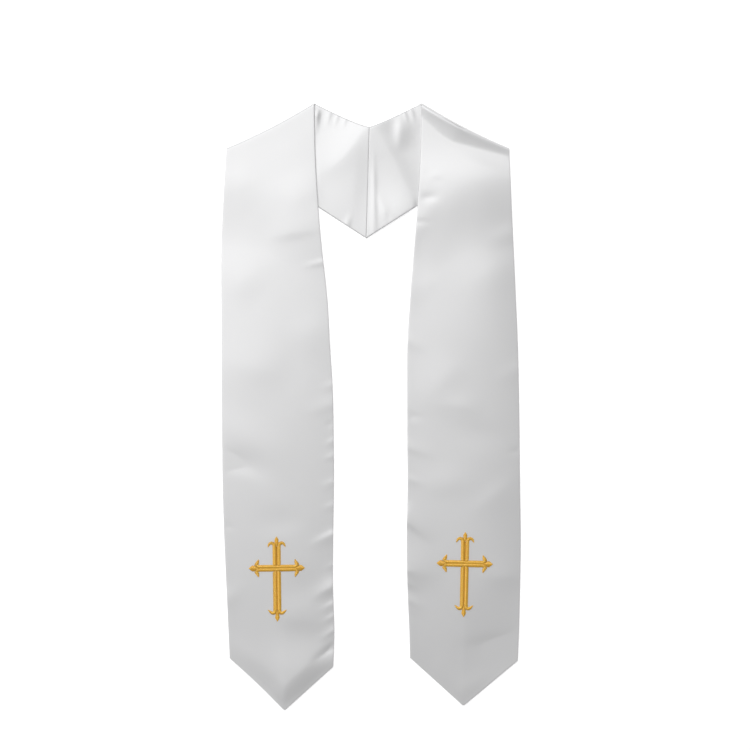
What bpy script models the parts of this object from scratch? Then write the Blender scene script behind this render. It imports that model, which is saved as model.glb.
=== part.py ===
"""A white satin choir stole with two embroidered crosses, lying on a table.

The stole is two mirrored half strips, sewn together at the centre back in a mitre. Each half is
a face and a lining, bagged out edge to edge. It runs from the centre back seam along the floor to
the shoulder, turns over in a soft oblique fold, and comes back as the front panel, which lies on
the back for a hand's width, steps down to the floor and ends in a point.

Metres, +Z up. Places on the cloth are first worked out as (out, down, height): out from the centre
back line towards that side, down from the top of the neck corner, and height above the table.
"""

import math

import bmesh
import bpy
from mathutils import Vector
from mathutils.geometry import delaunay_2d_cdt

# Cloth: a face and a lining, a seam's width apart.
WALL = 0.0010
SEAM_GAP = 0.0003
LAYER_GAP = 0.0003
SANDWICH = 2 * WALL + SEAM_GAP
LINING_INSET = 0.0010

# Where the centre back line and the neck corners lie, with the origin under the box's centre.
CENTRE_BACK_X = -0.0040
TOP_Y = 0.3856

# The back: the notch of the neck edge and the point of the outer edge, both on the centre seam.
NOTCH_DOWN = 0.0309
BACK_POINT_DOWN = 0.1720
SEAM_LEAN = 0.0020
NECK_EDGE_BEND = (0.016, 0.0272)

# The shoulder fold, from its outer corner to its neck corner. Its line dips a little in the middle,
# and the dip dies away along the front and the back.
FOLD_OUTER = (0.1793, 0.0573)
FOLD_NECK = (0.0680, 0.0)
FOLD_DIP = 0.0026
FOLD_DIP_REACH = 0.045
FRONT_RUN = 0.70
BACK_RUN = 0.14
# The front sinks from the fold onto the back, more steeply at first.
SINK_POWER = 1.2

# Each front panel as it lies: its two long edges, the corners of its pointed end and the point.
# An edge row is how far down it is, then the outer edge and the inner edge out from the centre.
# A fold row is a share of the fold, from its outer end, then the fold's radius there and how far in
# from it the front has sunk onto the back. The step is where the front begins to come down off the
# back's edge, as (out, down), and the step's run is how far down it reaches the table.
INNER_BELOW_FOLD = (0.0620, 0.0668)
LEFT = {
    "name": "left",
    "hand": -1,
    "fold": [(0.0, 0.0016, 0.060), (1.0, 0.0017, 0.060)],
    "step": [(0.040, 0.1510), (0.100, 0.1130), (0.130, 0.0970), (0.160, 0.0900), (0.195, 0.0880)],
    "step_run": 0.095,
    "edges": [
        (0.1230, 0.1833, 0.0635),
        (0.1840, 0.1859, 0.0583),
        (0.2450, 0.1861, 0.0516),
        (0.3060, 0.1857, 0.0480),
        (0.3670, 0.1857, 0.0444),
        (0.4280, 0.1852, 0.0432),
        (0.4890, 0.1844, 0.0430),
        (0.5500, 0.1825, 0.0439),
        (0.6110, 0.1798, 0.0442),
        (0.6720, 0.1770, 0.0424),
        (0.7200, 0.1750, 0.0440),
    ],
    "outer_corner_down": 0.7045,
    "inner_corner_down": 0.7155,
    "point": (0.1058, 0.7712),
    "end_bow": (0.0016, 0.0),
    "cross_centre": (0.1155, 0.5903),
    "cross_turn": math.radians(0.7),
}
RIGHT = {
    "name": "right",
    "hand": 1,
    "fold": [
        (0.0, 0.00195, 0.0080),
        (0.2, 0.00245, 0.0115),
        (0.4, 0.00290, 0.0160),
        (0.55, 0.00330, 0.0190),
        (0.7, 0.00330, 0.0175),
        (0.85, 0.00310, 0.0135),
        (1.0, 0.00250, 0.0100),
    ],
    "step": [(0.045, 0.1480), (0.100, 0.1130), (0.125, 0.0980), (0.155, 0.0925), (0.195, 0.0930)],
    "step_run": 0.095,
    "edges": [
        (0.1230, 0.1820, 0.0634),
        (0.1840, 0.1850, 0.0585),
        (0.2450, 0.1878, 0.0537),
        (0.3060, 0.1904, 0.0500),
        (0.3670, 0.1918, 0.0496),
        (0.4280, 0.1927, 0.0498),
        (0.4890, 0.1932, 0.0502),
        (0.5500, 0.1941, 0.0490),
        (0.6110, 0.1933, 0.0499),
        (0.6720, 0.1919, 0.0524),
        (0.7200, 0.1898, 0.0535),
    ],
    "outer_corner_down": 0.7080,
    "inner_corner_down": 0.7040,
    "point": (0.1212, 0.7655),
    "end_bow": (0.0, 0.0),
    "cross_centre": (0.1227, 0.5845),
    "cross_turn": math.radians(-1.2),
}
SIDES = (LEFT, RIGHT)

# The largest soft creases of each front panel, each a low ridge or trough: its start and end as
# (out, down), its height, its half widths on the shoulder side and on the point side, how far its
# line bows, the share of its length where it is fullest, and how round its crest is.
CREASES = {
    "left": [
        ((0.039, 0.700), (0.104, 0.773), 0.0025, (0.042, 0.012), -0.009, 0.4, 2.0),
        ((0.084, 0.758), (0.127, 0.745), 0.0006, (0.016, 0.010), 0.0, 0.5, 2.0),
        ((0.178, 0.689), (0.127, 0.743), 0.0007, (0.020, 0.010), 0.0, 0.4, 2.0),
        ((0.189, 0.453), (0.117, 0.486), -0.0008, (0.014, 0.011), -0.008, 0.25, 1.8),
        ((0.189, 0.322), (0.091, 0.341), 0.0007, (0.036, 0.026), 0.005, 0.5, 1.7),
    ],
    "right": [
        ((0.198, 0.601), (0.130, 0.602), 0.0008, (0.022, 0.014), 0.0, 0.35, 1.5),
        ((0.206, 0.679), (0.099, 0.695), -0.0009, (0.009, 0.026), -0.001, 0.45, 1.5),
        ((0.061, 0.387), (0.130, 0.316), 0.0006, (0.026, 0.020), 0.0, 0.5, 1.8),
        ((0.115, 0.758), (0.168, 0.722), 0.0008, (0.014, 0.009), 0.0, 0.4, 2.0),
        ((0.035, 0.103), (0.244, 0.080), 0.0032, (0.038, 0.052), 0.0, 0.5, 1.9),
        ((0.140, 0.161), (0.168, 0.377), 0.0008, (0.030, 0.060), 0.0, 0.4, 2.0),
    ],
}
# The largest soft creases of the back, which run on over the centre seam: as above, with places as
# (right of the centre back line, down).
BACK_CREASES = [
    ((-0.005, 0.032), (-0.081, 0.099), 0.0019, (0.024, 0.022), 0.010, 0.35, 1.5),
    ((0.061, 0.141), (-0.002, 0.009), 0.0012, (0.010, 0.040), -0.007, 0.6, 1.5),
    ((-0.002, 0.047), (0.046, -0.010), 0.0024, (0.020, 0.042), 0.0, 0.5, 1.8),
    ((0.005, 0.174), (0.082, 0.110), 0.0021, (0.030, 0.020), 0.0, 0.5, 1.8),
]
# How far before its start a crease begins, as a share of its length. Creases fade out at the fold,
# and those of the back fade out, too, before the front panel that lies on it.
CREASE_LEAD = 0.25
CREASE_FADE_START = 0.004
CREASE_FADE_RUN = 0.030
COVER_CLEAR = 0.013
COVER_RUN = 0.017

# The grid of each strip: points across it, and the sections along it.
ACROSS = 13
FOLD_STEPS = 8
BACK_STEPS = 9
FRONT_STATIONS = [
    0.0, 0.004, 0.009, 0.015, 0.022, 0.032, 0.044, 0.060, 0.080, 0.104, 0.130, 0.160, 0.195,
    0.235, 0.275, 0.315, 0.340, 0.365, 0.395, 0.435, 0.475, 0.505, 0.525, 0.542, 0.558, 0.573,
    0.588, 0.602, 0.615, 0.626, 0.636, 0.646, 0.656, 0.665, 0.674, 0.682, 0.689, 0.696,
]  # fmt: skip
# The share of the front's length where its rows begin to bend towards the point, and how far the
# point draws back for each millimetre that a wall is inset.
POINT_STARTS = 0.72
POINT_INSET = 1.4

# The embroidered cross: each arm's length, half width and kind of end.
CROSS_ARMS = [
    {"turn": 0, "length": 0.0355, "half": 0.0043, "end": "bar"},
    {"turn": 90, "length": 0.0400, "half": 0.0052, "end": "top"},
    {"turn": 180, "length": 0.0355, "half": 0.0043, "end": "bar"},
    {"turn": 270, "length": 0.0675, "half": 0.0052, "end": "foot"},
]
RIM_HEIGHT = 0.0005
RIDGE_HEIGHT = 0.0012
GROOVE_HEIGHT = 0.0007
# One side of an arm's end, as (back from the tip, out from the arm's middle line): the hooked barb
# from the stem outward and back in, then the bud. The ridge rows of a barb have a height too. The
# stem's own ridge and the groove between its two ridges stop at the backs named.
ARM_ENDS = {
    "bar": {
        "outline": [
            (0.0136, 0.0043), (0.0128, 0.0060), (0.0131, 0.0085), (0.0129, 0.0108),
            (0.0115, 0.0109), (0.0097, 0.0091), (0.0083, 0.0067), (0.0075, 0.0045),
            (0.0069, 0.0034), (0.0052, 0.0040), (0.0024, 0.0026), (0.0, 0.0005),
        ],
        "barb_ridge": [
            (0.0100, 0.0030, 0.0012), (0.0105, 0.0061, 0.0011), (0.0113, 0.0083, 0.0009),
            (0.0121, 0.0100, 0.0008),
        ],
        "bud_ridge": (0.0070, 0.0050, 0.0022),
        "stem_ridge_back": 0.0116,
        "groove_back": 0.0094,
    },
    "top": {
        "outline": [
            (0.0147, 0.0052), (0.0112, 0.0060), (0.0099, 0.0070), (0.0104, 0.0086),
            (0.0117, 0.0096), (0.0131, 0.0106), (0.0125, 0.0113), (0.0097, 0.0109),
            (0.0075, 0.0098), (0.0063, 0.0076), (0.0059, 0.0045), (0.0056, 0.0025),
            (0.0040, 0.0026), (0.0020, 0.0017), (0.0, 0.0005),
        ],
        "barb_ridge": [
            (0.0092, 0.0034, 0.0012), (0.0081, 0.0054, 0.0012), (0.0081, 0.0073, 0.0011),
            (0.0090, 0.0092, 0.0009), (0.0108, 0.0102, 0.0008),
        ],
        "bud_ridge": (0.0062, 0.0040, 0.0018),
        "stem_ridge_back": 0.0108,
        "groove_back": 0.0086,
    },
    "foot": {
        "outline": [
            (0.0163, 0.0052), (0.0135, 0.0060), (0.0123, 0.0072), (0.0128, 0.0088),
            (0.0142, 0.0104), (0.0146, 0.0114), (0.0134, 0.0114), (0.0109, 0.0095),
            (0.0089, 0.0067), (0.0078, 0.0040), (0.0073, 0.0025), (0.0050, 0.0030),
            (0.0024, 0.0019), (0.0, 0.0005),
        ],
        "barb_ridge": [
            (0.0112, 0.0034, 0.0012), (0.0104, 0.0052, 0.0012), (0.0107, 0.0070, 0.0011),
            (0.0119, 0.0090, 0.0009), (0.0133, 0.0104, 0.0008),
        ],
        "bud_ridge": (0.0078, 0.0050, 0.0022),
        "stem_ridge_back": 0.0128,
        "groove_back": 0.0106,
    },
}  # fmt: skip

# An edge between faces shades as a sharp one from this angle on, in degrees.
SHARP_ANGLE = 40

# The finishes: colour, roughness and metallic.
SATIN = ((0.90, 0.90, 0.90), 0.38, 0.0)
LINING_SATIN = ((0.88, 0.88, 0.88), 0.42, 0.0)
GOLD_THREAD = ((0.80, 0.50, 0.10), 0.42, 0.0)


def clear_scene():
    for old in list(bpy.data.objects):
        bpy.data.objects.remove(old, do_unlink=True)


def material(name, colour, roughness, metallic):
    made = bpy.data.materials.new(name)
    made.use_nodes = True
    shader = made.node_tree.nodes["Principled BSDF"]
    shader.inputs["Base Color"].default_value = (*colour, 1.0)
    shader.inputs["Roughness"].default_value = roughness
    shader.inputs["Metallic"].default_value = metallic
    return made


def ease(share):
    """0 up to 0, 1 from 1 on, and a smooth step between."""
    share = min(1.0, max(0.0, share))
    return share * share * (3 - 2 * share)


def between(a, b, share):
    return tuple(p + (q - p) * share for p, q in zip(a, b))


def curve_through(points, at):
    """The value at a place on a smooth curve through (place, value) points."""
    last = len(points) - 2
    here = min(last, max(0, sum(p[0] <= at for p in points) - 1))
    (x0, y0), (x1, y1) = points[here], points[here + 1]
    before = points[max(0, here - 1)]
    after = points[min(len(points) - 1, here + 2)]
    slope0 = (y1 - before[1]) / (x1 - before[0])
    slope1 = (after[1] - y0) / (after[0] - x0)
    span = x1 - x0
    t = (at - x0) / span
    return (
        y0 * (1 + 2 * t) * (1 - t) ** 2
        + slope0 * span * t * (1 - t) ** 2
        + y1 * t * t * (3 - 2 * t)
        - slope1 * span * t * t * (1 - t)
    )


def crease_relief(creases, place):
    """The height that soft ridges and troughs add at a place on the cloth."""
    total = 0.0
    for start, end, height, half_widths, bow, fullest, power in creases:
        run = (end[0] - start[0], end[1] - start[1])
        length = math.hypot(*run)
        along = (run[0] / length, run[1] / length)
        side = (-along[1], along[0]) if along[0] > 0 else (along[1], -along[0])
        away = (place[0] - start[0], place[1] - start[1])
        t = (away[0] * along[0] + away[1] * along[1]) / length
        kept = min(1.0, max(0.0, t))
        off = away[0] * side[0] + away[1] * side[1] - bow * 4 * kept * (1 - kept)
        across = abs(off / half_widths[off >= 0])
        rising = ease((t + CREASE_LEAD) / (fullest + CREASE_LEAD))
        falling = 1 - ease((t - fullest) / (1 - fullest))
        total += height * math.exp(-(across**power)) * rising * falling
    return total


class HalfStole:
    """The middle surface of one half strip, between its face and its lining."""

    def __init__(self, side):
        self.side = side
        self.hand = side["hand"]
        self.radii = [row[:2] for row in side["fold"]]
        self.sinks = [(row[0], row[2]) for row in side["fold"]]
        run = (FOLD_NECK[0] - FOLD_OUTER[0], FOLD_NECK[1] - FOLD_OUTER[1])
        self.fold_length = math.hypot(*run)
        self.along = (run[0] / self.fold_length, run[1] / self.fold_length)
        self.inward = (self.along[1], -self.along[0])
        self.drift = run[1] / run[0]
        self.set_edges()
        self.set_back()

    def set_edges(self):
        start_outer, start_inner = (self.fold_place(end, 0.0) for end in (0, 1))
        rows = self.side["edges"]
        self.outer_edge = [start_outer[::-1]] + [(row[0], row[1]) for row in rows]
        self.inner_edge = [start_inner[::-1], INNER_BELOW_FOLD]
        self.inner_edge += [(row[0], row[2]) for row in rows]

    def set_back(self):
        """The ends of the centre seam, which leans a little, half a seam's gap from the line."""
        lean = SEAM_LEAN * self.hand
        self.notch = (SEAM_GAP / 2 + lean, NOTCH_DOWN)
        self.back_point = (SEAM_GAP / 2 - lean, BACK_POINT_DOWN)
        self.back_outer = self.fold_place(0, math.pi)
        self.back_inner = self.fold_place(1, math.pi)

    def fold_place(self, u, angle):
        """(out, down) in the fold: u from its outer end to its neck, angle 0 at the front's top and
        a half turn at the back. The strip meets the fold askew, so it drifts along it as it turns."""
        base = between(FOLD_OUTER, FOLD_NECK, u)
        radius = curve_through(self.radii, u)
        inside = radius + SANDWICH / 2 - radius * math.sin(angle)
        inside += FOLD_DIP * 4 * u * (1 - u)
        drift = radius * self.drift * (angle - math.pi / 2)
        return tuple(
            b + inward * inside + along * drift
            for b, inward, along in zip(base, self.inward, self.along)
        )

    def fold_share(self, place):
        """The share of the fold, from its outer end, that a place on the front lies below."""
        away = (place[0] - FOLD_OUTER[0], place[1] - FOLD_OUTER[1])
        share = (away[0] * self.along[0] + away[1] * self.along[1]) / self.fold_length
        return min(1.0, max(0.0, share))

    def from_fold(self, place):
        """How far a place on the front lies inside the fold's own line."""
        away = (place[0] - FOLD_OUTER[0], place[1] - FOLD_OUTER[1])
        share = self.fold_share(place)
        inside = away[0] * self.inward[0] + away[1] * self.inward[1]
        inside -= curve_through(self.radii, share) + SANDWICH / 2
        return inside - FOLD_DIP * 4 * share * (1 - share)

    def front_height(self, place):
        """The height of the middle surface of the front panel."""
        past = place[1] - curve_through(self.side["step"], place[0])
        carried = 1 - ease(past / self.side["step_run"])
        rest = (SANDWICH + LAYER_GAP) * carried
        share = self.fold_share(place)
        spare = 2 * curve_through(self.radii, share) - SANDWICH - LAYER_GAP
        inside = self.from_fold(place)
        left = 1 - inside / curve_through(self.sinks, share)
        roll = spare * min(1.0, max(0.0, left)) ** SINK_POWER
        settled = ease((inside - CREASE_FADE_START) / CREASE_FADE_RUN)
        relief = crease_relief(CREASES[self.side["name"]], place)
        return SANDWICH / 2 + rest + roll + max(relief * settled, -rest)

    def back_height(self, place):
        """The height of the middle surface of the back."""
        out, down = place
        relief = crease_relief(BACK_CREASES, (self.hand * out, down))
        settled = ease((self.from_fold(place) - CREASE_FADE_START) / CREASE_FADE_RUN)
        clear = curve_through(self.inner_edge, down) - COVER_CLEAR - out
        return SANDWICH / 2 + max(relief * settled * ease(clear / COVER_RUN), 0.0)

    def front_section(self, station, inset):
        """One section of the front: its points as (place, outward direction of the face)."""
        share = station / FRONT_STATIONS[-1]
        side = self.side
        ends = []
        for edge, corner in (("outer", "outer_corner_down"), ("inner", "inner_corner_down")):
            line = self.outer_edge if edge == "outer" else self.inner_edge
            down = line[0][0] + (side[corner] - line[0][0]) * share
            ends.append((curve_through(line, down), down))
        outer, inner = inset_ends(ends, inset)
        middle = between(*ends, 0.5)
        pull = ease((share - POINT_STARTS) / (1 - POINT_STARTS)) ** 2
        shift = (side["point"][0] - middle[0], side["point"][1] - middle[1] - inset * POINT_INSET)
        points = []
        for i in range(ACROSS):
            u = i / (ACROSS - 1)
            tent = 1 - abs(2 * u - 1)
            bow = side["end_bow"][u > 0.5] * 4 * tent * (1 - tent)
            dip = FOLD_DIP * 4 * u * (1 - u) * (1 - ease(share * FRONT_RUN / FOLD_DIP_REACH))
            place = between(outer, inner, u)
            out = place[0] + pull * tent * shift[0] + dip * self.inward[0]
            down = place[1] + pull * (tent * shift[1] - bow) + dip * self.inward[1]
            points.append(((out, down, self.front_height((out, down))), (0.0, 0.0, 1.0)))
        return points

    def fold_section(self, angle, inset):
        """One section round the fold, seen along its axis."""
        ends = [self.fold_place(u, angle) for u in (0, 1)]
        length = math.dist(*ends)
        outward = (
            -self.inward[0] * math.sin(angle),
            -self.inward[1] * math.sin(angle),
            math.cos(angle),
        )
        points = []
        for i in range(ACROSS):
            u = inset / length + (1 - 2 * inset / length) * i / (ACROSS - 1)
            height = SANDWICH / 2 + curve_through(self.radii, u) * (1 + math.cos(angle))
            points.append(((*self.fold_place(u, angle), height), outward))
        return points

    def neck_edge(self, share):
        """The neck edge of the back, from the fold to the notch: one gentle bend."""
        first = between(self.back_inner, NECK_EDGE_BEND, share)
        second = between(NECK_EDGE_BEND, self.notch, share)
        return between(first, second, share)

    def back_section(self, share, inset):
        """One section of the back, from the fold (0) to the centre seam (1)."""
        outer = between(self.back_outer, self.back_point, share)
        ends = inset_ends([outer, self.neck_edge(share)], inset)
        points = []
        for i in range(ACROSS):
            u = i / (ACROSS - 1)
            dip = FOLD_DIP * 4 * u * (1 - u) * (1 - ease(share * BACK_RUN / FOLD_DIP_REACH))
            place = between(*ends, u)
            out = place[0] + dip * self.inward[0]
            down = place[1] + dip * self.inward[1]
            points.append(((out, down, self.back_height((out, down))), (0.0, 0.0, -1.0)))
        return points

    def sections(self, inset):
        """Every section, from the centre back seam to the point of the front."""
        found = [self.back_section(1 - i / BACK_STEPS, inset) for i in range(BACK_STEPS)]
        for i in range(FOLD_STEPS + 1):
            found.append(self.fold_section(math.pi * (1 - i / FOLD_STEPS), inset))
        found += [self.front_section(station, inset) for station in FRONT_STATIONS[1:]]
        return found

    def to_world(self, place):
        out, down, height = place
        return Vector((CENTRE_BACK_X + self.hand * out, TOP_Y - down, height))


def inset_ends(ends, inset):
    """A section's two ends, each moved in along the section."""
    share = inset / math.dist(*ends)
    return between(*ends, share), between(*ends, 1 - share)


def mesh_object(name, bm, finish):
    bmesh.ops.recalc_face_normals(bm, faces=bm.faces)
    mesh = bpy.data.meshes.new(name)
    bm.to_mesh(mesh)
    bm.free()
    mesh.materials.append(finish)
    mesh.shade_smooth()
    mesh.set_sharp_from_angle(angle=math.radians(SHARP_ANGLE))
    made = bpy.data.objects.new(name, mesh)
    bpy.context.scene.collection.objects.link(made)
    return made


def cloth_wall(name, half, near, far, inset, finish):
    """A wall on the strip's sections, from near to far of its middle surface."""
    bm = bmesh.new()
    layers = []
    for offset in (near, far):
        grid = []
        for section in half.sections(inset):
            row = []
            for place, outward in section:
                moved = tuple(p + n * offset for p, n in zip(place, outward))
                row.append(bm.verts.new(half.to_world(moved)))
            grid.append(row)
        layers.append(grid)
    inner, outer = layers
    rows, columns = len(inner), ACROSS
    for i in range(rows - 1):
        for j in range(columns - 1):
            for grid in layers:
                bm.faces.new(
                    (grid[i][j], grid[i][j + 1], grid[i + 1][j + 1], grid[i + 1][j])
                )
    rim = [(0, j) for j in range(columns)]
    rim += [(i, columns - 1) for i in range(1, rows)]
    rim += [(rows - 1, j) for j in range(columns - 2, -1, -1)]
    rim += [(i, 0) for i in range(rows - 2, 0, -1)]
    for (a, b), (c, d) in zip(rim, rim[1:] + rim[:1]):
        bm.faces.new((inner[a][b], inner[c][d], outer[c][d], outer[a][b]))
    return mesh_object(name, bm, finish)


def arm_end(arm):
    """One side of an arm, from its stem to its tip, as (along, out)."""
    outline = ARM_ENDS[arm["end"]]["outline"]
    return [(arm["length"] - back, out) for back, out in outline]


def turned(arm, along, out):
    """(right, up) of a place on an arm."""
    turn = math.radians(arm["turn"])
    right = along * math.cos(turn) - out * math.sin(turn)
    return right, along * math.sin(turn) + out * math.cos(turn)


def cross_outline():
    """The cross's outline, anticlockwise, as (right, up) from the crossing of its arms."""
    outline = []
    for arm, after in zip(CROSS_ARMS, CROSS_ARMS[1:] + CROSS_ARMS[:1]):
        side = arm_end(arm)
        local = [(along, -out) for along, out in side]
        local += [(along, out) for along, out in reversed(side)]
        local.append((after["half"], arm["half"]))
        outline += [turned(arm, along, out) for along, out in local]
    return outline


def cross_ridges():
    """The lines of the embroidery's relief, each a list of (right, up, height over the base).
    Every stem is two satin stitched columns side by side, with a groove between them."""
    lines = []
    for arm, after in zip(CROSS_ARMS, CROSS_ARMS[1:] + CROSS_ARMS[:1]):
        length, end = arm["length"], ARM_ENDS[arm["end"]]
        groove_end = length - end["groove_back"]
        found = [[(0.0, 0.0, GROOVE_HEIGHT), (groove_end, 0.0, GROOVE_HEIGHT)]]
        found.append([(length - back, 0.0, RIDGE_HEIGHT) for back in end["bud_ridge"]])
        for hand in (-1, 1):
            ridge = hand * arm["half"] / 2
            start = after["half"] / 2
            stem_end = length - end["stem_ridge_back"]
            found.append([(start, ridge, RIDGE_HEIGHT), (stem_end, ridge, RIDGE_HEIGHT)])
            found.append([(length - b, hand * o, h) for b, o, h in end["barb_ridge"]])
        lines += [[(*turned(arm, a, b), height) for a, b, height in line] for line in found]
    return lines


def filled(outline, lines):
    """Triangles over an outline that keep to the lines inside it: the places, as (right, up,
    height), and the triangles as their numbers."""
    places = [(right, up, RIM_HEIGHT) for right, up in outline]
    ring = list(range(len(outline)))
    edges = []
    for line in lines:
        first = len(places)
        places += line
        edges += [(first + i, first + i + 1) for i in range(len(line) - 1)]
    flat = [Vector(place[:2]) for place in places]
    merge_below = 1e-6
    verts, _, faces, origins, _, _ = delaunay_2d_cdt(flat, edges, [ring], 1, merge_below)
    found = []
    for vert, origin in zip(verts, origins):
        height = places[origin[0]][2] if origin else GROOVE_HEIGHT
        found.append((vert.x, vert.y, height))
    return found, faces


def embroidered_cross(half, finish):
    """A padded embroidered cross that lies on the face of a front panel."""
    side = half.side
    centre, turn = side["cross_centre"], side["cross_turn"]
    bm = bmesh.new()
    corners = {}

    def corner(right, up, lift):
        key = (round(right, 7), round(up, 7), lift)
        if key not in corners:
            out = centre[0] + half.hand * (right * math.cos(turn) - up * math.sin(turn))
            down = centre[1] - right * math.sin(turn) - up * math.cos(turn)
            height = half.front_height((out, down)) + SANDWICH / 2 + SEAM_GAP + lift
            corners[key] = bm.verts.new(half.to_world((out, down, height)))
        return corners[key]

    outline = cross_outline()
    places, faces = filled(outline, cross_ridges())
    for face in faces:
        bm.faces.new([corner(*places[i]) for i in face])
    places, faces = filled(outline, [])
    for face in faces:
        bm.faces.new([corner(*places[i][:2], 0.0) for i in reversed(face)])
    for a, b in zip(outline, outline[1:] + outline[:1]):
        bm.faces.new(
            (corner(*a, 0.0), corner(*b, 0.0), corner(*b, RIM_HEIGHT), corner(*a, RIM_HEIGHT))
        )
    return mesh_object("cross_" + side["name"], bm, finish)


def main():
    clear_scene()
    satin = material("satin", *SATIN)
    lining_satin = material("lining_satin", *LINING_SATIN)
    gold_thread = material("gold_thread", *GOLD_THREAD)
    near, far = SEAM_GAP / 2, SEAM_GAP / 2 + WALL
    for side in SIDES:
        half = HalfStole(side)
        cloth_wall("face_" + side["name"], half, near, far, 0.0, satin)
        cloth_wall("lining_" + side["name"], half, -near, -far, LINING_INSET, lining_satin)
        embroidered_cross(half, gold_thread)


main()
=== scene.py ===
"""The choir stole dressed for its photograph: satin shells, seams, creases and embroidery.

Every cloth shell has the same edges and folds as the solids, with finer creases. It is a strip that
runs from the centre back seam to the shoulder, turns over in an oblique fold and comes back as the
front panel. Places on the cloth are (out, down, height): out from the centre back line towards that
side, down from the top of the neck corner, and height above the table. Everything is in metres,
apart from the creases' tables, which are in the photograph's pixels and in millimetres.
"""

import math

import bpy
import numpy as np
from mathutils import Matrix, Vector

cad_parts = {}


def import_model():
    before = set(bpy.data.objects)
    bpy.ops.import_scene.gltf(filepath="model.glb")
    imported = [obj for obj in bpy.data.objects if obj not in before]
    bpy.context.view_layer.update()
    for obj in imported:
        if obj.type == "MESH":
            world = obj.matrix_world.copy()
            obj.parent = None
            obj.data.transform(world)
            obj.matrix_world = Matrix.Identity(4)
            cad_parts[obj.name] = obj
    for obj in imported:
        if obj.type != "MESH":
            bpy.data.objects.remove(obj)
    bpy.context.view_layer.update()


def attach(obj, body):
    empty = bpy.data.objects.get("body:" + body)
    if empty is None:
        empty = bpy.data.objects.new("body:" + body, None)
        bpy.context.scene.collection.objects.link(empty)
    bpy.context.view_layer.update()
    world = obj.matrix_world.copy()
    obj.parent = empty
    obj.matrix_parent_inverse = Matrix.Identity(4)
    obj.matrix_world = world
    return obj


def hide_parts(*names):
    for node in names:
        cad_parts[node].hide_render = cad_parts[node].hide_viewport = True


# The cloth's build-up. The walls and the gaps between the layers are as in the solids. The centre
# seam is closer here, and the lining comes nearer to the edge. NEAR and FAR are how far a layer's
# two surfaces are from the strip's middle surface.
WALL = 0.0010
SEAM_GAP = 0.0003
LAYER_GAP = 0.0003
SANDWICH = 2 * WALL + SEAM_GAP
CENTRE_GAP = 0.0001
LINING_INSET = 0.0007
NEAR = SEAM_GAP / 2
FAR = SEAM_GAP / 2 + WALL

# Where the centre back line and the top of the neck corner lie in the frame. The centre seam runs
# down from its notch to its point and leans. The neck's edge bends at a place between the notch
# and the fold.
CENTRE_BACK_X = -0.0040
TOP_Y = 0.3856
NOTCH_DOWN = 0.0309
BACK_POINT_DOWN = 0.1720
SEAM_LEAN = 0.0020
NECK_EDGE_BEND = (0.016, 0.0272)

# The fold's two ends, how far its line dips between them, and how far from it the dip is gone.
# About how long a front panel and a half's back are.
FOLD_OUTER = (0.1793, 0.0573)
FOLD_NECK = (0.0680, 0.0)
FOLD_DIP = 0.0026
FOLD_DIP_REACH = 0.045
FRONT_RUN = 0.70
BACK_RUN = 0.14
# The front sinks from the fold onto the back, more steeply at first.
SINK_POWER = 1.2
# The front's inner edge just below the fold, on both sides, as (down, inner).
INNER_BELOW_FOLD = (0.0620, 0.0668)

# Each front panel: its edges as (down, outer, inner), its corners, point, fold and cross. A fold row
# is a share of the fold, from its outer end, then the fold's radius there and how far in from it the
# front has sunk onto the back. The step is where the front begins to come down off the back's edge,
# as (out, down), and the step's run is how far down it reaches the table. The end's bow is how far
# the point's outer and inner edges bow in. The crown is the height of the panel's middle and how
# much it leans towards the outer edge.
LEFT = {
    "name": "left",
    "hand": -1,
    "fold": [(0.0, 0.0016, 0.060), (1.0, 0.0017, 0.060)],
    "step": [(0.040, 0.1510), (0.100, 0.1130), (0.130, 0.0970), (0.160, 0.0900), (0.195, 0.0880)],
    "step_run": 0.095,
    "edges": [
        (0.1230, 0.1833, 0.0635),
        (0.1840, 0.1859, 0.0583),
        (0.2450, 0.1861, 0.0516),
        (0.3060, 0.1857, 0.0480),
        (0.3670, 0.1857, 0.0444),
        (0.4280, 0.1852, 0.0432),
        (0.4890, 0.1844, 0.0430),
        (0.5500, 0.1825, 0.0439),
        (0.6110, 0.1798, 0.0442),
        (0.6720, 0.1770, 0.0424),
        (0.7200, 0.1750, 0.0440),
    ],
    "outer_corner_down": 0.7045,
    "inner_corner_down": 0.7155,
    "point": (0.1058, 0.7712),
    "end_bow": (0.0016, 0.0),
    "cross_centre": (0.1155, 0.5903),
    "cross_turn": math.radians(0.7),
    "crown": (0.0012, -0.3),
}
RIGHT = {
    "name": "right",
    "hand": 1,
    "fold": [
        (0.0, 0.00195, 0.0080),
        (0.2, 0.00245, 0.0115),
        (0.4, 0.00290, 0.0160),
        (0.55, 0.00330, 0.0190),
        (0.7, 0.00330, 0.0175),
        (0.85, 0.00310, 0.0135),
        (1.0, 0.00250, 0.0100),
    ],
    "step": [(0.045, 0.1480), (0.100, 0.1130), (0.125, 0.0980), (0.155, 0.0925), (0.195, 0.0930)],
    "step_run": 0.095,
    "edges": [
        (0.1230, 0.1820, 0.0634),
        (0.1840, 0.1850, 0.0585),
        (0.2450, 0.1878, 0.0537),
        (0.3060, 0.1904, 0.0500),
        (0.3670, 0.1918, 0.0496),
        (0.4280, 0.1927, 0.0498),
        (0.4890, 0.1932, 0.0502),
        (0.5500, 0.1941, 0.0490),
        (0.6110, 0.1933, 0.0499),
        (0.6720, 0.1919, 0.0524),
        (0.7200, 0.1898, 0.0535),
    ],
    "outer_corner_down": 0.7080,
    "inner_corner_down": 0.7040,
    "point": (0.1212, 0.7655),
    "end_bow": (0.0, 0.0),
    "cross_centre": (0.1227, 0.5845),
    "cross_turn": math.radians(-1.2),
    "crown": (0.0022, 0.6),
}

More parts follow.
